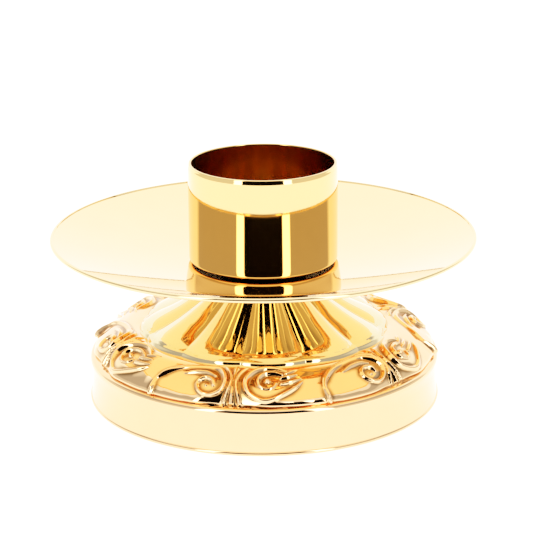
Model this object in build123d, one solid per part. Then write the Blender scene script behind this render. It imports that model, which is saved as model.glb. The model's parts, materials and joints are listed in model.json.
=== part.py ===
from build123d import *
import math
import os

# Candle holder with a drip pan, millimetres, +Z up.
# Origin: centre of the circle that the foot rests on. Every piece is turned
# or stamped about the Z axis. The stack, from the bottom: hex nut, lock
# washer and plain washer inside the hollow base, the stamped base, a threaded
# neck collar, the drip pan, a seat washer, and the candle cup with its bush.

# ---- driving dimensions -------------------------------------------------
BASE_R = 50.0          # rolled foot bead, outside
PAN_R = 60.0           # drip pan rim, outside
CUP_BORE_R = 20.0      # 40 mm candle
CUP_RIM_Z = 68.0       # whole height
CUP_BOTTOM_Z = 40.0    # underside of the cup floor
PAN_SEAT_Z = 38.8      # upper face of the pan at its centre
PAN_RIM_Z = 47.6       # top of the pan's rim
BASE_TOP_Z = 33.2      # flat on top of the base, under the collar

SHEET = 1.0            # brass sheet of the base, pan and cup
THREAD_R = 3.0         # M6 tie rod
THREAD_GAP = 0.05      # radial running clearance in the threads
SLIP_GAP = 0.3         # radial clearance of plain holes

# base section, outside face, from the foot to the top
FOOT_BEAD_R = 0.7
SKIRT_R = BASE_R - FOOT_BEAD_R
SHOULDER_R = 49.7
SHOULDER_Z = 12.0
SHOULDER_FLARE = 1.6   # height over which the skirt opens to the shoulder
SHOULDER_BELOW = 0.4   # upright band of the shoulder, below and above its middle
SHOULDER_ABOVE = 0.2
LEDGE_R = 49.1         # narrow ledge between the skirt and the ring
LEDGE_Z = 12.9
RING_TOE_R = 47.5
RING_TOE_Z = 13.5
RING_CROWN_R = 44.8    # the ring is one arc from its toe over the crown
RING_CROWN_Z = 17.8
RING_TOP_R = 36.4
RING_TOP_Z = 20.0
STEP_TOE_R = 35.3
STEP_TOE_Z = 19.9
STEP_TOP_R = 34.2
STEP_TOP_Z = 21.0
PETAL_KNEE_R = 25.0    # the petalled cone is a little hollow in profile
PETAL_KNEE_Z = 25.3
PETAL_TOP_R = 14.2
PETAL_TOP_Z = 32.4
NECK_R = 12.4

# pan
PAN_FLAT_R = 12.5      # flat centre of the pan
PAN_LIP_R = 0.62       # round section of the rolled rim

# cup
CUP_EDGE_R = 0.8       # outside radius at the bottom of the cup
CUP_FLOOR_FILLET = 1.5
CUP_RIM_ROUND = 0.4

# cup bush
BUSH_NECK_R = 5.0
BUSH_FLANGE_R = 9.0
BUSH_FLANGE_T = 1.5
BUSH_BOTTOM_Z = 36.4
BUSH_EDGE = 0.4
SLOT_W = 1.6           # two wrench slots in the flange
SLOT_DEPTH = 0.7
SLOT_LENGTH = 3.2

# seat washer under the cup
SEAT_WASHER_R = 12.0

# neck collar
COLLAR_R = 10.5
COLLAR_WAIST_R = 9.4
COLLAR_COUNTERBORE = 1.6

# fasteners inside the base
WASHER_R = 9.0
WASHER_T = 1.6
LOCK_WASHER_R = 5.9
LOCK_WASHER_T = 1.6
LOCK_WASHER_SPLIT = 1.2
NUT_FLATS = 10.0
NUT_H = 5.0
NUT_CHAMFER = 0.6
ROD_TOP_Z = 42.0
ROD_BOTTOM_Z = 22.0
ROD_CHAMFER = 0.6

# faces that follow from the stack
CUP_FLOOR_Z = CUP_BOTTOM_Z + SHEET
PAN_UNDER_Z = PAN_SEAT_Z - SHEET
BUSH_TOP_Z = CUP_FLOOR_Z + BUSH_FLANGE_T
THREAD_HOLE_R = THREAD_R + THREAD_GAP
ROD_HOLE_R = THREAD_R + SLIP_GAP
NECK_HOLE_R = BUSH_NECK_R + SLIP_GAP
WASHER_BOTTOM_Z = BASE_TOP_Z - SHEET - WASHER_T
LOCK_BOTTOM_Z = WASHER_BOTTOM_Z - LOCK_WASHER_T
NUT_BOTTOM_Z = LOCK_BOTTOM_Z - NUT_H

os.makedirs("parts", exist_ok=True)


def lathe(outline):
    """Solid of revolution about Z of a closed outline in the XZ plane."""
    return revolve(Plane.XZ * make_face(outline), axis=Axis.Z)


def ring(r_in, r_out, z_low, z_high):
    """Plain ring, or a disc with a hole."""
    points = [(r_in, z_low), (r_out, z_low), (r_out, z_high), (r_in, z_high)]
    return lathe(Polyline(*points, close=True))


def inward(points, wall):
    """Each corner of an open section moved square to its two runs by the wall."""
    moved = []
    last = len(points) - 1
    for i, (x, z) in enumerate(points):
        x0, z0 = points[max(i - 1, 0)]
        x1, z1 = points[min(i + 1, last)]
        here = Vector(x, z)
        back = (here - Vector(x0, z0)).normalized() if i > 0 else None
        ahead = (Vector(x1, z1) - here).normalized() if i < last else None
        back = back or ahead
        ahead = ahead or back
        normal = Vector(-back.Y - ahead.Y, back.X + ahead.X).normalized()
        spread = normal.X * -back.Y + normal.Y * back.X
        moved.append((x + normal.X * wall / spread, z + normal.Y * wall / spread))
    return moved


def base_shell():
    """Stamped base: skirt with a rolled foot, relief ring, petalled cone, flat top."""
    skirt = [
        (SKIRT_R, 0.0),
        (SKIRT_R, SHOULDER_Z - SHOULDER_FLARE),
        (SHOULDER_R, SHOULDER_Z - SHOULDER_BELOW),
        (SHOULDER_R, SHOULDER_Z + SHOULDER_ABOVE),
        (LEDGE_R, LEDGE_Z),
        (RING_TOE_R, RING_TOE_Z),
    ]
    cone = [
        (RING_TOP_R, RING_TOP_Z),
        (STEP_TOE_R, STEP_TOE_Z),
        (STEP_TOP_R, STEP_TOP_Z),
        (PETAL_KNEE_R, PETAL_KNEE_Z),
        (PETAL_TOP_R, PETAL_TOP_Z),
        (NECK_R, BASE_TOP_Z),
        (ROD_HOLE_R, BASE_TOP_Z),
    ]
    crown = (RING_CROWN_R, RING_CROWN_Z)
    crown_inside = inward([skirt[-1], crown, cone[0]], SHEET)[1]
    skirt_inside = inward(skirt, SHEET)
    cone_inside = inward(cone, SHEET)
    outline = [
        Polyline(*skirt),
        ThreePointArc(skirt[-1], crown, cone[0]),
        Polyline(*cone, *reversed(cone_inside)),
        ThreePointArc(cone_inside[0], crown_inside, skirt_inside[-1]),
        Polyline(*reversed(skirt_inside), skirt[0]),
    ]
    shell = lathe(outline)
    bead = ring(SKIRT_R - SHEET / 2, SKIRT_R, 0.0, 2 * FOOT_BEAD_R)
    bead_round = Circle(FOOT_BEAD_R).moved(Location((SKIRT_R, FOOT_BEAD_R)))
    bead += revolve(Plane.XZ * bead_round, axis=Axis.Z)
    return shell + bead


def neck_collar():
    """Threaded collar that clamps the base; its top is bored out for the bush."""
    low = BASE_TOP_Z
    high = PAN_UNDER_Z
    middle = (low + high) / 2
    outline = [
        Polyline(
            (COLLAR_R, high),
            (NECK_HOLE_R, high),
            (NECK_HOLE_R, high - COLLAR_COUNTERBORE),
            (THREAD_HOLE_R, high - COLLAR_COUNTERBORE),
            (THREAD_HOLE_R, low),
            (COLLAR_R, low),
        ),
        ThreePointArc((COLLAR_R, low), (COLLAR_WAIST_R, middle), (COLLAR_R, high)),
    ]
    return lathe(outline)


def drip_pan():
    """Spun dish of even thickness with a flat centre and a rolled rim."""
    lip_z = PAN_RIM_Z - PAN_LIP_R
    lip_r = PAN_R - PAN_LIP_R
    mid_r = (PAN_FLAT_R + lip_r) / 2
    rise = lip_z + SHEET / 2 - PAN_SEAT_Z
    mid_z = PAN_SEAT_Z + rise * (mid_r**2 - PAN_FLAT_R**2) / (lip_r**2 - PAN_FLAT_R**2)
    upper = ThreePointArc(
        (PAN_FLAT_R, PAN_SEAT_Z), (mid_r, mid_z), (lip_r, PAN_SEAT_Z + rise)
    )
    lower = ThreePointArc(
        (lip_r, PAN_SEAT_Z + rise - SHEET), (mid_r, mid_z - SHEET), (PAN_FLAT_R, PAN_UNDER_Z)
    )
    outline = [
        Line((NECK_HOLE_R, PAN_SEAT_Z), (PAN_FLAT_R, PAN_SEAT_Z)),
        upper,
        Line((lip_r, PAN_SEAT_Z + rise), (lip_r, PAN_SEAT_Z + rise - SHEET)),
        lower,
        Polyline(
            (PAN_FLAT_R, PAN_UNDER_Z), (NECK_HOLE_R, PAN_UNDER_Z), (NECK_HOLE_R, PAN_SEAT_Z)
        ),
    ]
    lip = Circle(PAN_LIP_R).moved(Location((lip_r, lip_z)))
    return lathe(outline) + revolve(Plane.XZ * lip, axis=Axis.Z)


def cup_shell():
    """Candle cup: a straight wall with a rounded rim and a flat floor."""
    outer_r = CUP_BORE_R + SHEET
    hole_r = BUSH_NECK_R + THREAD_GAP
    points = [
        (hole_r, CUP_BOTTOM_Z),
        (outer_r, CUP_BOTTOM_Z),
        (outer_r, CUP_RIM_Z),
        (CUP_BORE_R, CUP_RIM_Z),
        (CUP_BORE_R, CUP_FLOOR_Z),
        (hole_r, CUP_FLOOR_Z),
    ]
    face = make_face(Polyline(*points, close=True))

    def corner(x, z):
        return face.vertices().sort_by_distance((x, z, 0))[0]

    face = fillet(corner(outer_r, CUP_BOTTOM_Z), CUP_EDGE_R)
    face = fillet(corner(outer_r, CUP_RIM_Z), CUP_RIM_ROUND)
    face = fillet(corner(CUP_BORE_R, CUP_RIM_Z), CUP_RIM_ROUND)
    face = fillet(corner(CUP_BORE_R, CUP_FLOOR_Z), CUP_FLOOR_FILLET)
    return revolve(Plane.XZ * face, axis=Axis.Z)


def cup_bush():
    """Threaded bush of the cup: a flange on the floor and a neck through it."""
    outline = Polyline(
        (THREAD_HOLE_R, BUSH_BOTTOM_Z),
        (BUSH_NECK_R - BUSH_EDGE, BUSH_BOTTOM_Z),
        (BUSH_NECK_R, BUSH_BOTTOM_Z + BUSH_EDGE),
        (BUSH_NECK_R, CUP_FLOOR_Z),
        (BUSH_FLANGE_R, CUP_FLOOR_Z),
        (BUSH_FLANGE_R, BUSH_TOP_Z - BUSH_EDGE),
        (BUSH_FLANGE_R - BUSH_EDGE, BUSH_TOP_Z),
        (THREAD_HOLE_R, BUSH_TOP_Z),
        close=True,
    )
    bush = lathe(outline)
    slot = Box(SLOT_LENGTH, SLOT_W, 2 * SLOT_DEPTH)
    for side in (-1, 1):
        bush -= slot.moved(Location((side * BUSH_FLANGE_R, 0, BUSH_TOP_Z)))
    return bush


def tie_rod():
    """Threaded rod, drawn at its outside diameter, chamfered at both ends."""
    outline = Polyline(
        (0, ROD_BOTTOM_Z),
        (THREAD_R - ROD_CHAMFER, ROD_BOTTOM_Z),
        (THREAD_R, ROD_BOTTOM_Z + ROD_CHAMFER),
        (THREAD_R, ROD_TOP_Z - ROD_CHAMFER),
        (THREAD_R - ROD_CHAMFER, ROD_TOP_Z),
        (0, ROD_TOP_Z),
        close=True,
    )
    return lathe(outline)


def lock_washer():
    """Split spring washer, drawn flat."""
    washer = ring(ROD_HOLE_R, LOCK_WASHER_R, LOCK_BOTTOM_Z, WASHER_BOTTOM_Z)
    split = Box(LOCK_WASHER_R, LOCK_WASHER_SPLIT, 2 * LOCK_WASHER_T)
    middle_z = (LOCK_BOTTOM_Z + WASHER_BOTTOM_Z) / 2
    return washer - split.moved(Location((LOCK_WASHER_R - 1.0, 0, middle_z)))


def hex_nut():
    """Hexagon nut with chamfered corners."""
    corner_r = NUT_FLATS / math.sqrt(3)
    hexagon = Plane.XY.offset(NUT_BOTTOM_Z) * RegularPolygon(corner_r, 6)
    nut = extrude(hexagon, NUT_H)
    flat_r = NUT_FLATS / 2
    chamfered = lathe(
        Polyline(
            (THREAD_HOLE_R, NUT_BOTTOM_Z),
            (flat_r, NUT_BOTTOM_Z),
            (flat_r + 2 * NUT_CHAMFER, NUT_BOTTOM_Z + NUT_CHAMFER),
            (flat_r + 2 * NUT_CHAMFER, LOCK_BOTTOM_Z - NUT_CHAMFER),
            (flat_r, LOCK_BOTTOM_Z),
            (THREAD_HOLE_R, LOCK_BOTTOM_Z),
            close=True,
        )
    )
    return nut & chamfered


PARTS = {
    "base_shell": base_shell(),
    "base_washer": ring(ROD_HOLE_R, WASHER_R, WASHER_BOTTOM_Z, BASE_TOP_Z - SHEET),
    "lock_washer": lock_washer(),
    "hex_nut": hex_nut(),
    "tie_rod": tie_rod(),
    "neck_collar": neck_collar(),
    "drip_pan": drip_pan(),
    "seat_washer": ring(NECK_HOLE_R, SEAT_WASHER_R, PAN_SEAT_Z, CUP_BOTTOM_Z),
    "cup_bush": cup_bush(),
    "cup_shell": cup_shell(),
}

for name, shape in PARTS.items():
    export_step(shape, os.path.join("parts", name + ".step"))
    print(name, len(shape.solids()), "solid", round(shape.volume, 1), "mm3")
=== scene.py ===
import json
import math

import bpy
import numpy as np
from mathutils import Matrix, Vector

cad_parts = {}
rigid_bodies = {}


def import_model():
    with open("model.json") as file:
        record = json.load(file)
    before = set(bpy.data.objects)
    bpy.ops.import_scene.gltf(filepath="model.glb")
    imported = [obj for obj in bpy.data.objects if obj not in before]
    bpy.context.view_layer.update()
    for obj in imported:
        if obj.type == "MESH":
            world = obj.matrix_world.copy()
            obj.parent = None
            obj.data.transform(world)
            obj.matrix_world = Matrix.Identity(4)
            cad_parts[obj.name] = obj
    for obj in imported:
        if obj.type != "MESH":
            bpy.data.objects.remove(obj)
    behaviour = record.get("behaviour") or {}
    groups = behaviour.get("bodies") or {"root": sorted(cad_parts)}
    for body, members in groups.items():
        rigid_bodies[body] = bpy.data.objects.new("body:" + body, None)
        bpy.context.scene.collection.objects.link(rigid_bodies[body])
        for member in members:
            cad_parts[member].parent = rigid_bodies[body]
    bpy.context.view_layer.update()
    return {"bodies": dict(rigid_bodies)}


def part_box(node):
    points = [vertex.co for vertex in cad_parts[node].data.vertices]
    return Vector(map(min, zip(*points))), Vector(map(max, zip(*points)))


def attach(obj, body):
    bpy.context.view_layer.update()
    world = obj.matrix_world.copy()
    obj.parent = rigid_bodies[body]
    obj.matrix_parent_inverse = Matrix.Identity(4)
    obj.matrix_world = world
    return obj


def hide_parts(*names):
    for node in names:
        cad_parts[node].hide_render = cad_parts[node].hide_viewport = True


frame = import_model()
MM = 0.001

# =========================================================================
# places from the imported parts, in metres, and below them sizes in millimetres
# =========================================================================
_, BASE_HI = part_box("base_shell")
_, PAN_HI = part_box("drip_pan")
CUP_LO, CUP_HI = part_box("cup_shell")
ROD_LO, ROD_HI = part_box("tie_rod")
NUT_LO, NUT_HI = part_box("hex_nut")
LOCK_LO, LOCK_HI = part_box("lock_washer")
WASHER_LO, WASHER_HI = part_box("base_washer")
COLLAR_LO, COLLAR_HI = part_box("neck_collar")
SEAT_LO, SEAT_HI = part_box("seat_washer")
BUSH_LO, BUSH_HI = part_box("cup_bush")

FOOT_R = BASE_HI.x / MM
TOP_Z = BASE_HI.z / MM
SHEET = 1.0  # wall of the foot, the pan and the cup
ROD_CLEARANCE = 3.3  # radius of the plain holes on the M6 rod
THREAD_HOLE = 3.06  # radius of the threaded ones
BUSH_CLEARANCE = 5.3  # radius of the plain holes round the neck of the bush

# =========================================================================
# mesh helpers
# =========================================================================


def mesh_from(name, verts, quads, sharp=None, attribute=None):
    """Object from arrays of vertices (metres) and quads or triangles, smooth shaded."""
    me = bpy.data.meshes.new(name)
    verts = np.asarray(verts, np.float32)
    me.vertices.add(len(verts))
    me.vertices.foreach_set("co", verts.ravel())
    faces = [np.asarray(q, np.int32) for q in (quads if isinstance(quads, list) else [quads])]
    corners = np.concatenate([f.ravel() for f in faces])
    sizes = np.concatenate([np.full(len(f), f.shape[1], np.int32) for f in faces])
    me.loops.add(len(corners))
    me.loops.foreach_set("vertex_index", corners)
    me.polygons.add(len(sizes))
    me.polygons.foreach_set("loop_start", np.concatenate([[0], np.cumsum(sizes)[:-1]]).astype(np.int32))
    me.polygons.foreach_set("use_smooth", np.ones(len(sizes), bool))
    me.update(calc_edges=True)
    me.validate()
    if sharp is not None and len(sharp):
        ends = np.zeros(len(me.edges) * 2, np.int32)
        me.edges.foreach_get("vertices", ends)
        ends = np.sort(ends.reshape(-1, 2), axis=1).astype(np.int64)
        keys = ends[:, 0] * len(verts) + ends[:, 1]
        marks = np.sort(np.asarray(sharp, np.int64), axis=1)
        flags = np.isin(keys, marks[:, 0] * len(verts) + marks[:, 1])
        layer = me.attributes.new("sharp_edge", "BOOLEAN", "EDGE")
        layer.data.foreach_set("value", flags)
    if attribute is not None:
        for key, values in attribute.items():
            layer = me.attributes.new(key, "FLOAT", "POINT")
            layer.data.foreach_set("value", np.asarray(values, np.float32))
    ob = bpy.data.objects.new(name, me)
    bpy.context.scene.collection.objects.link(ob)
    return ob


def turned(r, z, a):
    """Points at radius r and height z; the angle a runs from the front, anticlockwise from above."""
    return np.stack(np.broadcast_arrays(r * np.sin(a), -r * np.cos(a), z), -1)


def ring_edges(first, cols):
    """The edges of one closed ring of vertices."""
    j = np.arange(cols)
    return np.stack([first + j, first + (j + 1) % cols], -1)


def grid_faces(rows, cols, closed_rows, offset=0, flip=False):
    """Quads of a grid whose columns close round the axis; closed_rows joins its last row to its first."""
    i = np.arange(rows if closed_rows else rows - 1)
    j = np.arange(cols)
    i, j = np.meshgrid(i, j, indexing="ij")
    i2 = (i + 1) % rows
    j2 = (j + 1) % cols
    quads = np.stack([i * cols + j, i * cols + j2, i2 * cols + j2, i2 * cols + j], -1).reshape(-1, 4)
    if flip:
        quads = quads[:, ::-1]
    return quads + offset


def arc(cx, cz, r, a0, a1, n):
    """Points on an arc in the section plane, angles in degrees from +r."""
    return [
        (cx + r * math.cos(math.radians(a)), cz + r * math.sin(math.radians(a)))
        for a in np.linspace(a0, a1, n)
    ]


def lathe(name, section, cols, crease=28.0):
    """Closed section (list of (r, z) in mm, anticlockwise) turned about Z; sharp above the crease angle."""
    pts = np.array(section, float)
    ahead = np.roll(pts, -1, 0) - pts
    back = pts - np.roll(pts, 1, 0)
    turn = np.degrees(np.arctan2(back[:, 0] * ahead[:, 1] - back[:, 1] * ahead[:, 0], (back * ahead).sum(1)))
    a = np.arange(cols) * 2 * math.pi / cols
    verts = turned(pts[:, 0, None], pts[:, 1, None], a).reshape(-1, 3)
    sharp = [ring_edges(i * cols, cols) for i in np.nonzero(abs(turn) > crease)[0]]
    sharp = np.concatenate(sharp) if sharp else None
    return mesh_from(name, verts * MM, grid_faces(len(pts), cols, True), sharp)


def smoothstep(a, b, x):
    """0 below a, 1 above b and a smooth rise between them."""
    t = np.clip((x - a) / (b - a), 0, 1)
    return t * t * (3 - 2 * t)


def spline(points, per_span):
    """Catmull-Rom curve through rows of numbers."""
    p = np.array(points, float)
    p = np.vstack([2 * p[0] - p[1], p, 2 * p[-1] - p[-2]])
    out = []
    for k in range(1, len(p) - 2):
        t = np.linspace(0, 1, per_span, endpoint=False)[:, None]
        a, b, c, d = p[k - 1], p[k], p[k + 1], p[k + 2]
        out.append(
            0.5 * (2 * b + (c - a) * t + (2 * a - 5 * b + 4 * c - d) * t**2 + (3 * b - a - 3 * c + d) * t**3)
        )
    out.append(p[-2][None])
    return np.concatenate(out)


# =========================================================================
# the stamped base: relief
# =========================================================================
PETALS = 12
PETAL_PHASE = 4.0  # middle of one petal, degrees from the front
PETAL_TILT = 18.0  # lean of a petal's flank where it meets the valley, degrees
PETAL_TIP = 34.4  # radius that the middle of a petal's rounded end reaches
PETAL_TIP_BACK = 1.1  # how much shorter it is at the valley
PETAL_END = 5.0  # length of the rounded end
PETAL_FADE = (11.5, 14.5)  # radii between which the petals run out into the neck
# painted shade (partly patina) at the bottom of a petal valley and on the band where no petal rises
VALLEY_SHADE = 0.1  # recess value at the bottom of a valley
SCALLOP = 0.9  # depth of the scallops in the step between cone and ring
SCALLOP_IN, SCALLOP_OUT = (31.0, 34.2), (35.6, 38.4)  # radii between which they fade in and out
MOTIFS = 6
MOTIF_PHASE = -11.0  # axis of one palmette, degrees from the front
MOTIF_WIDTH = 360 / MOTIFS  # degrees
BAND_REACH = 52.0  # a band farther than this from the middle of the motif can't touch it, degrees
HEIGHT_SCALE = 2.1  # the heights given for the ornament are multiplied by this
WIDTH_SCALE = 1.3  # and the half widths of its bands by this
BLEND = 0.12  # height difference over which two bands melt into each other
# GROOVE_FROM and GROOVE_SPAN set where the painted shade (partly patina) in a groove starts and where it is
# full
GROOVE_FROM = 0.03  # depth at which a groove starts to darken
GROOVE_SPAN = 0.16  # and how much deeper it is fully dark
LOBE_FROM = (3.0, 15.0)  # degrees from the palmette between which the ring swells from lean to full
LOBE_TO = (46.0, 57.0)  # and back from full to lean
RING_GRID = (1200, 80)  # columns and rows of the scroll ring's outside
CONE_GRID = (960, 84)  # and of the cone's
INSIDE_COLS = 192  # columns of the plain surface inside both

# outside face of the scroll ring from the ledge over the crown to the step:
# lean where a palmette stands, full in the smooth lobes between
RING_LEAN = [
    (47.55, 13.4), (47.25, 13.95), (46.85, 14.65), (46.4, 15.45), (45.7, 16.45), (44.6, 17.65),
    (43.2, 18.7), (41.4, 19.4), (39.5, 19.85), (37.8, 20.05), (36.4, 20.0), (35.55, 19.85),
]
RING_FULL = [
    (48.4, 13.35), (48.4, 13.9), (48.2, 14.4), (47.7, 15.0), (46.3, 16.15), (44.3, 17.6),
    (42.6, 18.7), (41.0, 19.4), (39.5, 19.9), (37.8, 20.05), (36.4, 20.0), (35.55, 19.85),
]
# the petalled cone, from the step up to the neck
CONE = [
    (35.55, 19.85), (35.35, 20.1), (35.12, 20.5), (34.9, 20.88), (34.55, 21.12), (33.9, 21.25), (32.5, 21.6),
    (29.5, 22.95), (25.0, 25.3), (21.0, 27.8), (17.5, 30.2), (15.4, 31.8), (14.0, 32.6), (12.4, TOP_Z),
]


def resample(points, count):
    """Evenly spaced points on a smooth curve, their outward normals and their distances along it."""
    fine = spline(points, 40)
    steps = np.hypot(*np.diff(fine, axis=0).T)
    s = np.concatenate([[0], np.cumsum(steps)])
    t = np.linspace(0, s[-1], count)
    out = np.stack([np.interp(t, s, fine[:, 0]), np.interp(t, s, fine[:, 1])], -1)
    tangent = np.gradient(out, t, axis=0)
    normal = np.stack([tangent[:, 1], -tangent[:, 0]], -1)
    normal /= np.hypot(*normal.T)[:, None]
    return out, normal, t


def petal(phi):
    """0 along the middle of a petal, 1 along the valley beside it; phi in degrees from the front."""
    period = 360 / PETALS
    return abs((phi - PETAL_PHASE + period / 2) % period - period / 2) / (period / 2)


def edge_shift(r, phi):
    """The step between cone and ring is scalloped, one scallop to a petal."""
    t = petal(phi)
    here = smoothstep(*SCALLOP_IN, r) * (1 - smoothstep(*SCALLOP_OUT, r))
    return -SCALLOP * t**2 * here


def to_segment(px, py, ax, ay, bx, by):
    """Distance from each point p to the segment ab, and how far along ab the nearest place is."""
    dx, dy = bx - ax, by - ay
    t = np.clip(((px - ax) * dx + (py - ay) * dy) / (dx * dx + dy * dy + 1e-12), 0, 1)
    return np.hypot(px - ax - t * dx, py - ay - t * dy), t


class Relief:
    """Height of the ornament, in mm, on the grid of one motif.

    u is the angle from the palmette in degrees, r the radius and s the distance along the section.
    r_of and s_of list radii and the distances that belong to them.
    """

    def __init__(self, u, r, s, r_of, s_of):
        self.u, self.r, self.s = u, r, s
        self.r_of, self.s_of = r_of, s_of
        self.h = np.zeros_like(u)

    def raise_to(self, value):
        """Smooth maximum of the height so far and a new one."""
        m = np.clip(0.5 + 0.5 * (value - self.h) / BLEND, 0, 1)
        self.h = value * m + self.h * (1 - m) + BLEND * m * (1 - m)

    def stroke(self, rows):
        """A raised band along a curve. Rows are (u, r, half width, height)."""
        c = spline(rows, 8)
        best = np.full_like(self.h, np.inf)
        height = np.zeros_like(self.h)
        y = np.interp(c[:, 1], self.r_of, self.s_of)
        for wrap in (-MOTIF_WIDTH, 0.0, MOTIF_WIDTH):
            x = np.radians(c[:, 0] + wrap)
            for k in range(len(c) - 1):
                if abs(c[k, 0] + wrap - MOTIF_WIDTH / 2) > BAND_REACH:
                    continue
                d, t = to_segment(
                    np.radians(self.u) * self.r, self.s, x[k] * self.r, y[k], x[k + 1] * self.r, y[k + 1]
                )
                w = WIDTH_SCALE * (c[k, 2] + t * (c[k + 1, 2] - c[k, 2]))
                a = c[k, 3] + t * (c[k + 1, 3] - c[k, 3])
                q = d / w
                closer = q < best
                best = np.where(closer, q, best)
                height = np.where(closer, a, height)
        shape = np.cos(np.minimum(best, 1) * math.pi / 2) ** 2
        self.raise_to(HEIGHT_SCALE * height * np.where(best < 1, shape, 0))

    def blob(self, u, r, ru, rr, height):
        """A rounded boss. ru and rr are half sizes in mm, round the ring and down it."""
        for wrap in (-MOTIF_WIDTH, 0.0, MOTIF_WIDTH):
            x = np.radians(self.u - u - wrap) * self.r
            y = self.s - np.interp(r, self.r_of, self.s_of)
            q = np.hypot(x / ru, y / rr)
            shape = np.cos(np.minimum(q, 1) * math.pi / 2) ** 1.3
            self.raise_to(np.where(q < 1, HEIGHT_SCALE * height * shape, 0))


def motif(u, r, s, r_of, s_of):
    """Height of one motif: palmette, small leafed scroll, smooth lobe and large stem scroll."""
    m = Relief(u, r, s, r_of, s_of)
    # broad swellings under the ornament, in the lower part of the ring
    lower = smoothstep(42.5, 46.0, r)
    for middle, width, height in ((31.5, 4.0, 0.4), (11.0, 7.0, 0.7), (51.0, 6.0, 0.5)):
        m.h += height * np.exp(-(((u - middle) / width) ** 2)) * lower
    # small scroll: outer band, the curl inside it and its boss
    m.stroke([
        (19.5, 39.3, 0.4, 0.25), (17, 38.3, 0.75, 0.45), (14, 37.8, 0.9, 0.55), (11, 38.0, 1.0, 0.6),
        (8.0, 39.0, 1.05, 0.65), (5.8, 40.7, 1.05, 0.65), (4.4, 42.8, 1.05, 0.65), (4.5, 44.5, 1.05, 0.65),
        (6.2, 45.9, 1.05, 0.65), (10, 46.7, 1.05, 0.65), (14, 46.5, 1.0, 0.6), (18, 45.6, 0.9, 0.55),
        (21.5, 44.5, 0.7, 0.45), (24.4, 43.2, 0.35, 0.2),
    ])
    m.stroke([
        (17.6, 40.6, 0.5, 0.35), (14.4, 40.0, 0.65, 0.5), (11.0, 40.5, 0.7, 0.55), (8.9, 42.1, 0.7, 0.55),
        (9.0, 43.9, 0.7, 0.55), (11.2, 44.8, 0.65, 0.5), (13.8, 44.4, 0.55, 0.45), (15.0, 43.2, 0.45, 0.3),
    ])
    m.blob(12.0, 42.6, 1.0, 0.9, 0.5)
    # three leaf fingers on the inside of the small scroll
    m.stroke([(19.0, 40.2, 0.5, 0.25), (22, 39.4, 0.5, 0.3), (24.5, 38.6, 0.3, 0.1)])
    m.stroke([(17.2, 41.8, 0.5, 0.35), (20, 41.4, 0.65, 0.4), (23, 40.8, 0.35, 0.2)])
    m.stroke([(17.0, 43.5, 0.5, 0.35), (20.5, 43.0, 0.65, 0.4), (24, 42.3, 0.35, 0.2)])
    # stem and large scroll
    m.stroke([
        (32, 48.6, 0.8, 0.5), (32, 47.6, 0.95, 0.75), (31.6, 46, 0.85, 0.65), (31.7, 44.8, 0.75, 0.5),
        (33.3, 43, 0.9, 0.5), (36.6, 41, 1.0, 0.36), (40.3, 39.6, 1.0, 0.3), (44.5, 38.7, 1.0, 0.3),
        (49, 38.3, 1.05, 0.36), (53.2, 39.0, 1.05, 0.5), (55.6, 40.8, 0.9, 0.6), (56.9, 42.8, 0.8, 0.6),
        (57, 44.4, 0.8, 0.6), (55.6, 45.7, 0.85, 0.6), (52.8, 46.3, 0.85, 0.6), (50, 46.1, 0.8, 0.6),
        (48.0, 45.2, 0.75, 0.55), (47.4, 44.2, 0.7, 0.5), (48.2, 43.1, 0.75, 0.5), (50.2, 42.6, 0.8, 0.5),
        (52.4, 43.3, 0.75, 0.5), (53.2, 44.5, 0.6, 0.4),
    ])
    m.blob(50.8, 44.6, 0.8, 0.8, 0.35)
    # plain outer leaf of the scroll, inside the stem
    m.stroke([(41, 42.0, 0.5, 0.2), (45, 41.0, 0.8, 0.4), (49.5, 40.9, 0.8, 0.45), (53, 41.9, 0.5, 0.3)])
    # border ribbon beside the palmette, and the palmette
    m.stroke([
        (51, 37.0, 0.4, 0.15), (54.8, 37.6, 0.6, 0.35), (57.2, 39.3, 0.65, 0.45), (58.7, 41.6, 0.5, 0.35),
        (59.1, 44, 0.5, 0.4), (58.2, 46.0, 0.6, 0.45), (57.2, 47.6, 0.5, 0.25),
    ])
    m.stroke([
        (4.5, 36.8, 0.4, 0.15), (3.0, 38.3, 0.55, 0.35), (1.6, 40.6, 0.5, 0.35), (1.0, 43, 0.45, 0.4),
        (1.4, 45, 0.55, 0.45), (2.5, 46.8, 0.6, 0.45), (3.0, 48.0, 0.5, 0.25),
    ])
    m.stroke([(0, 36.4, 0.5, 0.2), (0, 38, 0.9, 0.35), (0, 40, 0.5, 0.25), (0, 43, 0.3, 0.15)])
    m.stroke([(0, 44.5, 0.3, 0.2), (0, 46.4, 0.8, 0.45), (0, 47.8, 0.8, 0.45), (0, 48.6, 0.5, 0.2)])
    return m.h


def grooves(h):
    """How far each point lies below its surroundings, kept as painted shade (partly patina): 0 on the bands,
    1 in the grooves.
    """
    reach = 4  # the surroundings are an average over this many grid steps each way, taken twice
    around = h
    for _ in range(2):
        side = sum(np.roll(around, k, 1) for k in range(-reach, reach + 1)) / (2 * reach + 1)
        padded = np.pad(side, ((reach, reach), (0, 0)), "edge")
        around = sum(padded[k:k + len(h)] for k in range(2 * reach + 1)) / (2 * reach + 1)
    return np.clip((around - h - GROOVE_FROM) / GROOVE_SPAN, 0, 1)


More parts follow.
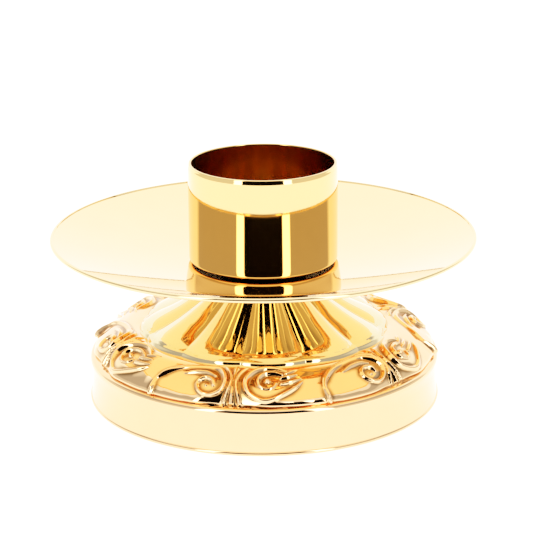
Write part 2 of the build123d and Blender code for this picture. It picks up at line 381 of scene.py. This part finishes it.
def ring_surface(cols, rows):
    """Vertices of the scroll ring's outside, and the painted shade (partly patina) that each gets in a
    groove.
    """
    lean, lean_normal, s = resample(RING_LEAN, rows)
    full, full_normal, _ = resample(RING_FULL, rows)
    per = cols // MOTIFS
    u = np.arange(per) * MOTIF_WIDTH / per
    fullness = smoothstep(*LOBE_FROM, u) * (1 - smoothstep(*LOBE_TO, u))
    along = lean[:, None] + (full - lean)[:, None] * fullness[None, :, None]
    normal = lean_normal[:, None] + (full_normal - lean_normal)[:, None] * fullness[None, :, None]
    normal /= np.linalg.norm(normal, axis=-1)[..., None]
    u, s = np.meshgrid(u, s)
    order = np.argsort(lean[:, 0])
    h = motif(u, along[..., 0], s, lean[order, 0], s[order, 0])
    # the ornament rises within 0.5 mm of the toe and runs out before the top edge
    end = s.max()
    h *= smoothstep(0.0, 0.5, s) * (1 - smoothstep(end - 1.3, end - 0.2, s))
    moved = np.tile(along + normal * h[..., None], (1, MOTIFS, 1))
    phi = MOTIF_PHASE + np.arange(cols) * 360.0 / cols
    r = moved[..., 0] + edge_shift(lean[:, 0, None], phi)
    return turned(r, moved[..., 1], np.radians(phi)), np.tile(grooves(h), (1, MOTIFS))


def cone_surface(cols, rows):
    """Vertices of the petalled cone's outside, and the painted shade (partly patina) that each gets in a
    valley.
    """
    section, normal, _ = resample(CONE, rows)
    phi = MOTIF_PHASE + np.arange(cols) * 360.0 / cols
    t = petal(phi)
    cone_r = section[:, 0, None]
    # across, a petal is a round arc from valley to valley
    half = cone_r * math.pi / PETALS
    arc_r = half / math.sin(math.radians(PETAL_TILT))
    bulge = np.sqrt(arc_r**2 - (half * t) ** 2) - np.sqrt(arc_r**2 - half**2)
    # along, it runs out into the neck and ends in a quarter of an ellipse
    tip = PETAL_TIP - PETAL_TIP_BACK * t**2
    q = np.clip((cone_r - tip + PETAL_END) / PETAL_END, 0, 1)
    h = bulge * smoothstep(*PETAL_FADE, cone_r) * np.sqrt(1 - q**2)
    r = cone_r + normal[:, 0, None] * h + edge_shift(cone_r, phi)
    z = section[:, 1, None] + normal[:, 1, None] * h
    # the valleys, and the plain band where no petal rises, get painted shade (partly patina)
    return turned(r, z, np.radians(phi)), VALLEY_SHADE * np.maximum(1.0 - h, 0)


def shell_piece(name, outer, shade_and_patina, inner_section):
    """Closed piece: a detailed outer grid, a plain inner grid and two joining rings."""
    rows, cols, _ = outer.shape
    cols_in = INSIDE_COLS
    step = cols // cols_in
    half = step // 2
    inner = np.array(inner_section, float)
    a = np.radians(MOTIF_PHASE + np.arange(cols_in) * 360.0 / cols_in)
    inner_verts = turned(inner[:, 0, None], inner[:, 1, None], a)
    verts = np.concatenate([outer.reshape(-1, 3), inner_verts.reshape(-1, 3)])
    base = rows * cols
    faces = [grid_faces(rows, cols, False)]
    faces.append(grid_faces(len(inner), cols_in, False, base, flip=True))
    tris = []
    last_in = base + (len(inner) - 1) * cols_in
    for row0, in0, flip in ((0, base, True), ((rows - 1) * cols, last_in, False)):
        for j in range(cols_in):
            a0, a1 = in0 + j, in0 + (j + 1) % cols_in
            o = [row0 + (j * step + k) % cols for k in range(step + 1)]
            fan = [(a0, o[k], o[k + 1]) for k in range(half)]
            fan += [(a1, o[k], o[k + 1]) for k in range(half, step)]
            fan.append((a0, o[half], a1))
            tris += [f[::-1] if flip else f for f in fan]
    faces.append(np.array(tris, np.int32)[:, ::-1])
    rims = [ring_edges(first, cols) for first in (0, (rows - 1) * cols)]
    rims += [ring_edges(first, cols_in) for first in (base, last_in)]
    # the painted shade (partly patina) of the grooves and valleys goes onto the points as an attribute
    values = np.concatenate([shade_and_patina.ravel(), np.zeros(len(inner) * cols_in)])
    return mesh_from(name, verts * MM, faces, np.concatenate(rims), {"shade_and_patina": values})


def inset(points, wall):
    """An open section moved inward by the wall."""
    p = np.array(points, float)
    tangent = np.gradient(p, axis=0)
    normal = np.stack([tangent[:, 1], -tangent[:, 0]], -1)
    normal /= np.hypot(*normal.T)[:, None]
    return p - normal * wall


def build_scrolls():
    """The ring of palmettes and scrolls."""
    ring, shade_and_patina = ring_surface(*RING_GRID)
    return shell_piece("base_scrolls", ring, shade_and_patina, inset(RING_LEAN, SHEET))


def build_petals():
    """The cone, with its flat top and the hole for the rod."""
    cone, shade_and_patina = cone_surface(*CONE_GRID)
    under = TOP_Z - SHEET
    inner = list(inset(CONE, SHEET)[:-1]) + [(12.0, under), (ROD_CLEARANCE, under), (ROD_CLEARANCE, TOP_Z)]
    return shell_piece("base_petals", cone, shade_and_patina, inner)


def build_skirt():
    """The plain wall, from its rolled edge to a round shoulder that turns in under the ring's toe."""
    wall = FOOT_R - 0.9
    toe = RING_LEAN[0]
    bead_r = 0.63
    shoulder_r = 1.3
    shoulder = FOOT_R - 0.3 - shoulder_r
    skirt = [(wall + 0.53, 1.14), (wall + 0.4, 1.9), (wall + 0.18, 3.2), (wall + 0.04, 5.2), (wall, 8.2)]
    skirt += [(wall + 0.15, 9.8), (wall + 0.4, 10.9), (wall + 0.55, 11.5)]
    skirt += arc(shoulder, 11.9, shoulder_r, 0, 76, 12) + [(toe[0], toe[1] - 0.05), toe]
    skirt += [(toe[0] - SHEET, toe[1] - 0.3), (wall - SHEET, 12.0), (wall - SHEET, 0.6)]
    bead = arc(FOOT_R - bead_r, bead_r, bead_r, -180, 70, 16)
    return lathe("base_skirt", bead + skirt, 512)


# =========================================================================
# pan, cup and the hardware
# =========================================================================


def build_pan():
    """A flat centre, a wall that rises as the square of the radius, and a rolled rim."""
    lip = 0.62
    lip_r, lip_z = PAN_HI.x / MM - lip, PAN_HI.z / MM - lip
    seat = SEAT_LO.z / MM
    flat = 12.5
    steepness = (lip_z + lip * 0.55 - seat) / (lip_r**2 - flat**2)
    radii = np.linspace(flat, lip_r - 0.35, 60)
    upper = [(r, seat + steepness * (r**2 - flat**2)) for r in radii]
    lower = [(r, z - SHEET) for r, z in upper]
    lower[-1] = (lip_r - lip, lip_z - 0.1)
    section = [(BUSH_CLEARANCE, seat - SHEET), (flat, seat - SHEET)] + lower[1:]
    section += arc(lip_r, lip_z, lip, -150, 118, 20)
    section += upper[::-1] + [(BUSH_CLEARANCE, seat)]
    return lathe("pan_dish", section, 512)


def build_cup():
    """A straight cup: its corners are round, below and inside, and its mouth draws in a little."""
    out_r, in_r = CUP_HI.x / MM, CUP_HI.x / MM - SHEET
    z0, z1 = CUP_LO.z / MM, CUP_HI.z / MM
    floor = z0 + SHEET
    hole = 5.06
    corner, lip, inside = 0.9, 0.25, 1.5
    section = [(hole, z0), (14.0, z0), (out_r - 1.0, z0)]
    section += arc(out_r - corner, z0 + corner, corner, -90, 0, 10)
    section += [(out_r, z) for z in np.linspace(z0 + 2, z1 - 1.3, 12)]
    section += [(out_r - 0.03, z1 - 1.1), (out_r - 0.1, z1 - 0.8), (out_r - 0.24, z1 - 0.4)]
    section += arc(out_r - 2 * lip, z1 - lip, lip, 15, 90, 6)
    section += arc(in_r + lip, z1 - lip, lip, 90, 180, 6)
    section += [(in_r, z) for z in np.linspace(z1 - 0.8, floor + 1.8, 12)]
    section += arc(in_r - inside, floor + inside, inside, 0, -90, 9)
    section += [(hole + 4, floor), (hole, floor)]
    return lathe("cup_wall", section, 512)


def build_collar():
    """A collar with a waist between two chamfered flanges, and a wider hole above for the bush."""
    z0, z1 = COLLAR_LO.z / MM, COLLAR_HI.z / MM
    r = COLLAR_HI.x / MM
    hole, wide, step = 3.05, BUSH_CLEARANCE, z1 - 1.6
    section = [(hole, z0), (r - 0.2, z0), (r, z0 + 0.2), (r, z0 + 0.7)]
    section += [(9.9, z0 + 0.9), (9.5, z0 + 1.6), (9.4, (z0 + z1) / 2), (9.5, z1 - 1.6), (9.9, z1 - 0.9)]
    section += [(r, z1 - 0.7), (r, z1 - 0.2), (r - 0.2, z1), (wide, z1), (wide, step), (hole, step)]
    return lathe("collar", section, 192)


def build_washer(name, lo, hi, r_in):
    """A flat ring with its edges chamfered."""
    edge = 0.12
    z0, z1 = lo.z / MM, hi.z / MM
    r = hi.x / MM
    section = [(r_in, z0 + edge), (r_in + edge, z0), (r - edge, z0), (r, z0 + edge)]
    section += [(r, z1 - edge), (r - edge, z1), (r_in + edge, z1), (r_in, z1 - edge)]
    return lathe(name, section, 128, crease=60.0)


def build_rod():
    """M6 thread: the tooth climbs 1 mm for each turn round the rod, and both ends are chamfered."""
    z0, z1 = ROD_LO.z / MM, ROD_HI.z / MM
    cols, pitch, major, minor = 72, 1.0, 2.99, 2.4
    levels = np.arange(z0, z1 + 1e-6, 0.1)
    a, z = np.meshgrid(np.arange(cols) * 2 * math.pi / cols, levels)
    phase = ((z - a / (2 * math.pi) * pitch) / pitch) % 1.0
    # the tooth is full over the middle of the pitch and gone near its two ends
    tooth = np.clip(1.25 - 3.2 * abs(phase - 0.5), 0, 1)
    r = minor + (major - minor) * tooth
    from_end = np.minimum(z - z0, z1 - z)
    r = np.minimum(r, minor + np.clip(from_end, 0, 0.6))
    verts = np.vstack([turned(r, z, a).reshape(-1, 3), [[0, 0, z0], [0, 0, z1]]])
    side = grid_faces(len(levels), cols, False)
    # each end is a fan round one of the two last vertices
    bottom, top = (ring_edges(first, cols) for first in (0, (len(levels) - 1) * cols))
    low = np.column_stack([np.full(cols, len(verts) - 2), bottom[:, ::-1]])
    high = np.column_stack([np.full(cols, len(verts) - 1), top])
    return mesh_from("rod_thread", verts * MM, [side, low, high], np.concatenate([bottom, top]))


def build_nut():
    """Hexagon nut: corners cut back by a cone at both ends, chamfered hole."""
    z0, z1 = NUT_LO.z / MM, NUT_HI.z / MM
    half = min(NUT_HI.x, NUT_HI.y) / MM
    cols = 144
    a = np.arange(cols) * 2 * math.pi / cols
    from_flat = (a + math.pi / 6) % (math.pi / 3) - math.pi / 6
    hexagon = half / np.cos(from_flat)
    # the cone leaves a circle at each end and lets the whole hexagon through farther in
    cone = [(z0, -0.1), (z0 + 0.15, 0.2), (z0 + 0.45, 0.8), (z1 - 0.45, 0.8), (z1 - 0.15, 0.2), (z1, -0.1)]
    rows = [(np.minimum(hexagon, half + more), z) for z, more in cone]
    bevel = 0.5
    hole = [(bevel, z1), (0.0, z1 - bevel), (0.0, z0 + bevel), (bevel, z0)]
    rows += [(np.full(cols, THREAD_HOLE + more), z) for more, z in hole]
    verts = [np.stack([r * np.cos(a), r * np.sin(a), np.full(cols, z)], -1) for r, z in rows]
    verts = np.concatenate(verts)
    ob = mesh_from("nut", verts * MM, grid_faces(len(rows), cols, True))
    ob.data.set_sharp_from_angle(angle=math.radians(25))
    return ob


def build_lock_washer():
    """Spring washer with its split a little open."""
    z0, z1 = LOCK_LO.z / MM, LOCK_HI.z / MM
    r_in, r_out = ROD_CLEARANCE, 5.88
    edge = 0.1
    cols = 120
    half_gap = 6.0  # degrees
    a = np.radians(np.linspace(half_gap, 360 - half_gap, cols))
    section = [(r_in, z0 + edge), (r_in + edge, z0), (r_out - edge, z0), (r_out, z0 + edge)]
    section += [(r_out, z1 - edge), (r_out - edge, z1), (r_in + edge, z1), (r_in, z1 - edge)]
    verts = [np.stack([r * np.cos(a), r * np.sin(a), np.full(cols, z)], -1) for r, z in section]
    verts = np.concatenate(verts)
    n = len(section)
    i, j = np.meshgrid(np.arange(n), np.arange(cols - 1), indexing="ij")
    i2 = (i + 1) % n
    quads = np.stack([i * cols + j, i * cols + j + 1, i2 * cols + j + 1, i2 * cols + j], -1).reshape(-1, 4)
    ends = np.array([[k * cols for k in range(n)], [k * cols + cols - 1 for k in reversed(range(n))]])
    ob = mesh_from("spring_washer", verts * MM, [quads, ends[:, ::-1]])
    ob.data.set_sharp_from_angle(angle=math.radians(40))
    return ob


def build_bush():
    """Neck through the floor of the cup, flange above it with two notches for a key, threaded hole."""
    z0, z1 = BUSH_LO.z / MM, BUSH_HI.z / MM
    floor = CUP_LO.z / MM + SHEET
    neck, flange, hole = 5.0, 9.0, THREAD_HOLE
    edge = 0.4
    notch_depth, notch_length, notch_half = 0.7, 1.5, 0.8
    notch_z = z1 - notch_depth
    profile = np.array([
        (hole + edge, z0), (neck - edge, z0), (neck, z0 + edge), (neck, floor), (flange, floor),
        (flange, notch_z), (flange, z1 - edge), (flange - 0.12, z1 - 0.12), (flange - edge, z1),
        (flange - 1.0, z1), (flange - 1.6, z1), (hole + edge, z1), (hole, z1 - edge), (hole, z0 + edge),
    ])
    cols = 240
    a = np.arange(cols) * 2 * math.pi / cols
    r, z = profile[:, 0, None], profile[:, 1, None]
    x, y = r * np.cos(a), r * np.sin(a)
    notch = (abs(y) < notch_half) & (r > flange - notch_length) & (z > notch_z)
    z = np.where(notch, notch_z, z)
    ob = mesh_from("bush", np.stack([x, y, z], -1).reshape(-1, 3) * MM, grid_faces(len(profile), cols, True))
    ob.data.set_sharp_from_angle(angle=math.radians(30))
    return ob


# =========================================================================
# materials
# =========================================================================
GOLD = (1.0, 0.60, 0.285)
PETAL_GOLD = (0.88, 0.68, 0.35)
# painted shade, partly patina, for the grooves of the relief and the valleys of the petals
GROOVE_SHADE_COLOUR = (0.26, 0.11, 0.016)
GROOVE_SHADE_SHARE = 0.9  # how much of it the bottom of a groove takes
GROOVE_ROUGHNESS = 0.1  # added at the bottom of a groove
LINE_SCALE = {"turned": 9000.0, "even": 2500.0}  # noise scale of rings round the axis, or of even grain


def plug(tree, socket, value):
    """Set a socket to a number or a colour, or join it to another node's output."""
    if isinstance(value, bpy.types.NodeSocket):
        tree.links.new(value, socket)
    else:
        socket.default_value = value


def maths(tree, operation, *values, clamp=False):
    """The result of a maths node."""
    node = tree.nodes.new("ShaderNodeMath")
    node.operation = operation
    node.use_clamp = clamp
    for socket, value in zip(node.inputs, values):
        plug(tree, socket, value)
    return node.outputs[0]


def mix_colours(tree, factor, a, b):
    """Colour a where the factor is 0 and b where it is 1."""
    node = tree.nodes.new("ShaderNodeMix")
    node.data_type = "RGBA"
    plug(tree, node.inputs["Factor"], factor)
    plug(tree, node.inputs["A"], a)
    plug(tree, node.inputs["B"], b)
    return node.outputs["Result"]


def noise(tree, vector, scale, detail):
    """Values of a noise texture at a place."""
    node = tree.nodes.new("ShaderNodeTexNoise")
    node.inputs["Scale"].default_value = scale
    node.inputs["Detail"].default_value = detail
    tree.links.new(vector, node.inputs["Vector"])
    return node.outputs["Fac"]


def radius_and_height(tree, place):
    """A vector of the distance from the axis and the height, for rings round the axis."""
    xyz = tree.nodes.new("ShaderNodeSeparateXYZ")
    tree.links.new(place, xyz.inputs[0])
    squares = [maths(tree, "POWER", xyz.outputs[k], 2.0) for k in (0, 1)]
    rings = tree.nodes.new("ShaderNodeCombineXYZ")
    tree.links.new(maths(tree, "SQRT", maths(tree, "ADD", *squares)), rings.inputs[0])
    tree.links.new(xyz.outputs[2], rings.inputs[1])
    return rings.outputs[0]


def metal(name, colour, rough, grain, unevenness, bump, tint=None, shade_and_patina=False):
    """Polished metal with fine turning lines or even grain, and faint clouding in colour and polish.

    The unevenness is how far the roughness strays, the bump is the depth of the grain in mm, and the
    tint is what the clouding mixes in, a little darker if not given. When asked for, grooves and valleys get
    painted shade, partly patina: a darker colour and more roughness.
    """
    mat = bpy.data.materials.new(name)
    mat.use_nodes = True
    tree = mat.node_tree
    shader = tree.nodes["Principled BSDF"]
    shader.inputs["Metallic"].default_value = 1.0
    place = tree.nodes.new("ShaderNodeTexCoord").outputs["Object"]
    along = radius_and_height(tree, place) if grain == "turned" else place
    lines = noise(tree, along, LINE_SCALE[grain], 3.0)
    cloud = noise(tree, place, 90.0, 4.0)

    streaks = maths(tree, "MULTIPLY", maths(tree, "SUBTRACT", lines, 0.5), 2 * unevenness)
    haze = maths(tree, "MULTIPLY", maths(tree, "SUBTRACT", cloud, 0.5), unevenness)
    roughness = maths(tree, "ADD", maths(tree, "ADD", streaks, haze), rough)
    roughness = maths(tree, "MAXIMUM", roughness, 0.012)
    clouded = tint or tuple(c * 0.93 for c in colour)
    base = mix_colours(tree, cloud, (*colour, 1), (*clouded, 1))
    # painted shade (partly patina) in the grooves and valleys: darker colour, a little rougher
    if shade_and_patina:
        groove = tree.nodes.new("ShaderNodeAttribute")
        groove.attribute_name = "shade_and_patina"
        deep = maths(tree, "MULTIPLY", groove.outputs["Fac"], GROOVE_SHADE_SHARE, clamp=True)
        base = mix_colours(tree, deep, base, (*GROOVE_SHADE_COLOUR, 1))
        roughness = maths(tree, "ADD", roughness, maths(tree, "MULTIPLY", deep, GROOVE_ROUGHNESS))
    tree.links.new(base, shader.inputs["Base Color"])
    tree.links.new(roughness, shader.inputs["Roughness"])

    bumps = tree.nodes.new("ShaderNodeBump")
    bumps.inputs["Strength"].default_value = 1.0
    bumps.inputs["Distance"].default_value = bump * MM
    tree.links.new(lines, bumps.inputs["Height"])
    tree.links.new(bumps.outputs[0], shader.inputs["Normal"])
    return mat


gold = metal("gilt_polished", GOLD, 0.03, "turned", 0.012, 0.0006)
gold_pan = metal("gilt_pan", (1.0, 0.70, 0.33), 0.03, "turned", 0.012, 0.0006)
gold_cup = metal("gilt_cup", (1.0, 0.62, 0.22), 0.03, "turned", 0.012, 0.0006)
gold_relief = metal("gilt_relief", GOLD, 0.035, "even", 0.012, 0.0006, shade_and_patina=True)
gold_petal = metal("gilt_petals", PETAL_GOLD, 0.03, "even", 0.012, 0.0006, shade_and_patina=True)
# a darker, redder copy of the cup's gold: painted shade for the inside of the cup
gold_inside_painted_shade = metal("gilt_cup_inside_painted_shade", (0.62, 0.32, 0.08), 0.11, "turned", 0.05, 0.004)
gold_under = metal("gilt_under", (0.95, 0.64, 0.24), 0.16, "even", 0.06, 0.006)
brass = metal("brass_turned", (0.86, 0.62, 0.27), 0.16, "turned", 0.08, 0.01)
# near-black brass: painted shadow for the narrow gap under the cup, on the seat ring and the cup's underside
gap_shadow_brass = metal("brass_painted_gap_shadow", (0.055, 0.03, 0.012), 0.35, "turned", 0.08, 0.006)
steel = metal("zinc_steel", (0.68, 0.69, 0.70), 0.24, "even", 0.10, 0.012, tint=(0.62, 0.64, 0.60))


def paint(ob, *mats):
    """Give a piece its materials; every face starts with the first."""
    ob.data.materials.clear()
    for m in mats:
        ob.data.materials.append(m)


def paint_inside(ob, grid):
    """The faces that come after the outer grid's take the second material."""
    cols, rows = grid
    index = np.arange(len(ob.data.polygons)) >= (rows - 1) * cols
    ob.data.polygons.foreach_set("material_index", index.astype(np.int32))


def choose_material(ob, pick):
    """Each face takes the material number that pick gives for its centre's radius and height in mm."""
    index = [pick(math.hypot(p.center.x, p.center.y) / MM, p.center.z / MM) for p in ob.data.polygons]
    ob.data.polygons.foreach_set("material_index", index)


# =========================================================================
# assembly
# =========================================================================
SKIRT_INSIDE = (48.3, 12.8)  # faces of the skirt within this radius and below this height are its inside

scrolls = build_scrolls()
paint(scrolls, gold_relief, gold_under)
paint_inside(scrolls, RING_GRID)
petals = build_petals()
paint(petals, gold_petal, gold_under)
paint_inside(petals, CONE_GRID)
skirt = build_skirt()
paint(skirt, gold, gold_under)
choose_material(skirt, lambda r, z: 1 if r < SKIRT_INSIDE[0] and z < SKIRT_INSIDE[1] else 0)
for ob in (scrolls, petals, skirt):
    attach(ob, "stand")
    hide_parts("base_shell")

pan = build_pan()
paint(pan, gold_pan)
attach(pan, "stand")
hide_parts("drip_pan")

CUP_BORE = CUP_HI.x / MM - SHEET
CUP_MID_FLOOR = CUP_LO.z / MM + SHEET / 2

cup = build_cup()
# inside the bore the cup takes its gold with painted shade
paint(cup, gold_cup, gold_inside_painted_shade, gap_shadow_brass)
# below the cup floor, inside the bore, the underside is near black: painted shadow of the gap above the pan
choose_material(cup, lambda r, z: 0 if r > CUP_BORE + 0.01 else (1 if z > CUP_MID_FLOOR else 2))
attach(cup, "cup")
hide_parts("cup_shell")

collar = build_collar()
seat = build_washer("seat_ring", SEAT_LO, SEAT_HI, BUSH_CLEARANCE)
paint(collar, gold)
# the seat ring is painted near black as the shadow in the gap between cup and pan
paint(seat, gap_shadow_brass)
for ob, node, slot in ((collar, "neck_collar", "gilt_brass_turned"), (seat, "seat_washer", "bare_brass")):
    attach(ob, "stand")
    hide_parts(node)

bush = build_bush()
paint(bush, brass)
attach(bush, "bush" if "bush" in frame["bodies"] else "cup")
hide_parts("cup_bush")

for ob, node in (
    (build_rod(), "tie_rod"),
    (build_nut(), "hex_nut"),
    (build_lock_washer(), "lock_washer"),
    (build_washer("plain_washer", WASHER_LO, WASHER_HI, ROD_CLEARANCE), "base_washer"),
):
    paint(ob, steel)
    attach(ob, "stand")
    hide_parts(node)

# =========================================================================
# studio: floor, light, camera
# =========================================================================
scene = bpy.context.scene
WHITE = 2.5  # brightness of the back of the tent
FLOOR_LIGHT = 0.95 * WHITE
OVERHEAD = 1.9
SIDE_LOW, SIDE_HIGH = 1.3, 0.74  # side walls, near the floor and above
STRIP = 8.0  # bright frame on both sides of the opening
OPENING = (0.004, 0.003, 0.002)  # what shows in it
WHITE_POINT = 2.3  # brightness that comes out as full white
CAMERA_AT = (0.0, -0.55099, 0.21288)
CAMERA_TURN = (17.680, 0.0884, -0.4178)  # pitch, yaw and roll in degrees


def build_floor():
    """A pale floor that glows a little; it has one face only, so the foot can be seen from below."""
    bpy.ops.mesh.primitive_plane_add(size=6.0, location=(0, 0, -0.0002))
    floor = bpy.context.object
    floor.name = "floor"
    mat = bpy.data.materials.new("studio_floor")
    mat.use_nodes = True
    n, link = mat.node_tree.nodes, mat.node_tree.links
    shader = n["Principled BSDF"]
    shader.inputs["Base Color"].default_value = (0.25, 0.25, 0.25, 1)
    shader.inputs["Roughness"].default_value = 0.9
    shader.inputs["Specular IOR Level"].default_value = 0.0
    shader.inputs["Emission Color"].default_value = (1, 1, 1, 1)
    shader.inputs["Emission Strength"].default_value = FLOOR_LIGHT
    facing = n.new("ShaderNodeNewGeometry")
    clear = n.new("ShaderNodeBsdfTransparent")
    choice = n.new("ShaderNodeMixShader")
    link.new(facing.outputs["Backfacing"], choice.inputs[0])
    link.new(shader.outputs[0], choice.inputs[1])
    link.new(clear.outputs[0], choice.inputs[2])
    link.new(choice.outputs[0], n["Material Output"].inputs["Surface"])
    floor.data.materials.append(mat)


def build_world():
    """A white tent with a dark opening behind the camera, drawn by direction."""
    world = bpy.data.worlds.new("studio")
    scene.world = world
    world.use_nodes = True
    tree = world.node_tree
    n, link = tree.nodes, tree.links
    n.clear()
    out = n.new("ShaderNodeOutputWorld")
    background = n.new("ShaderNodeBackground")
    link.new(background.outputs[0], out.inputs[0])
    coord = n.new("ShaderNodeTexCoord")
    xyz = n.new("ShaderNodeSeparateXYZ")
    link.new(coord.outputs["Generated"], xyz.inputs[0])
    turn = maths(tree, "ARCTAN2", xyz.outputs[0], maths(tree, "MULTIPLY", xyz.outputs[1], -1.0))
    around = maths(tree, "DIVIDE", maths(tree, "ABSOLUTE", turn), math.pi)
    up = maths(tree, "DIVIDE", maths(tree, "ARCSINE", xyz.outputs[2]), math.pi / 2)

    def ramp(value, whole, stops):
        """Greys or colours at angles in degrees, where the value 1 stands for the whole angle."""
        node = n.new("ShaderNodeValToRGB")
        elements = node.color_ramp.elements
        while len(elements) > 1:
            elements.remove(elements[-1])
        for k, (angle, level) in enumerate(stops):
            element = elements.new(angle / whole) if k else elements[0]
            element.position = angle / whole
            element.color = (*(level if isinstance(level, tuple) else (level,) * 3), 1)
        link.new(value, node.inputs[0])
        return node.outputs[0]

    def wall(side):
        """All round: the opening, its bright frame, the side walls, the white back."""
        return ramp(around, 180, [
            (0, OPENING), (31, OPENING), (32.5, STRIP), (43, STRIP), (45, side), (122, side),
            (130, WHITE), (180, WHITE),
        ])

    def blend(low, high, a, b):
        """One picture below the height a in degrees, the other above the height b."""
        return mix_colours(tree, ramp(up, 90, [(0, 0.0), (a, 0.0), (b, 1.0), (90, 1.0)]), low, high)

    walls = blend(wall(SIDE_LOW), wall(SIDE_HIGH), 18, 27)
    roof = ramp(around, 180, [(0, OVERHEAD), (120, OVERHEAD), (135, WHITE), (180, WHITE)])
    link.new(blend(walls, roof, 49, 52), background.inputs[0])


def build_camera():
    """The photograph's camera: pitch and yaw turn it down and sideways, roll about its own axis."""
    data = bpy.data.cameras.new("view")
    data.lens = 137.77
    data.sensor_width = 36.0
    data.clip_start = 0.01
    data.clip_end = 50
    cam = bpy.data.objects.new("view", data)
    scene.collection.objects.link(cam)
    pitch, yaw, roll = (math.radians(v) for v in CAMERA_TURN)
    level = math.cos(pitch)
    ahead = Vector((level * math.sin(yaw), level * math.cos(yaw), -math.sin(pitch)))
    aside = Vector((math.cos(yaw), -math.sin(yaw), 0))
    above = aside.cross(ahead)
    right = math.cos(roll) * aside + math.sin(roll) * above
    up = -math.sin(roll) * aside + math.cos(roll) * above
    pose = Matrix((right, up, -ahead)).transposed().to_4x4()
    pose.translation = Vector(CAMERA_AT)
    cam.matrix_world = pose
    scene.camera = cam


def set_tone():
    """A soft shoulder: bright gold goes pale before it clips, and WHITE_POINT comes out white."""
    view = scene.view_settings
    view.view_transform = "Standard"
    view.use_curve_mapping = True
    mapping = view.curve_mapping
    mapping.white_level = (WHITE_POINT,) * 3
    points = mapping.curves[3].points
    while len(points) > 2:
        points.remove(points[1])
    points[0].location = (0, 0)
    points[1].location = (1, 1)
    for x in (0.06, 0.13, 0.22, 0.34, 0.48, 0.65, 0.82):
        points.new(x, (1 - math.exp(-x * WHITE_POINT)) / (1 - math.exp(-WHITE_POINT)))
    mapping.update()


build_floor()
build_world()
build_camera()
set_tone()
scene.cycles.max_bounces = 16
scene.cycles.glossy_bounces = 14
scene.cycles.diffuse_bounces = 3
scene.cycles.sample_clamp_indirect = 0
scene.cycles.use_denoising = True
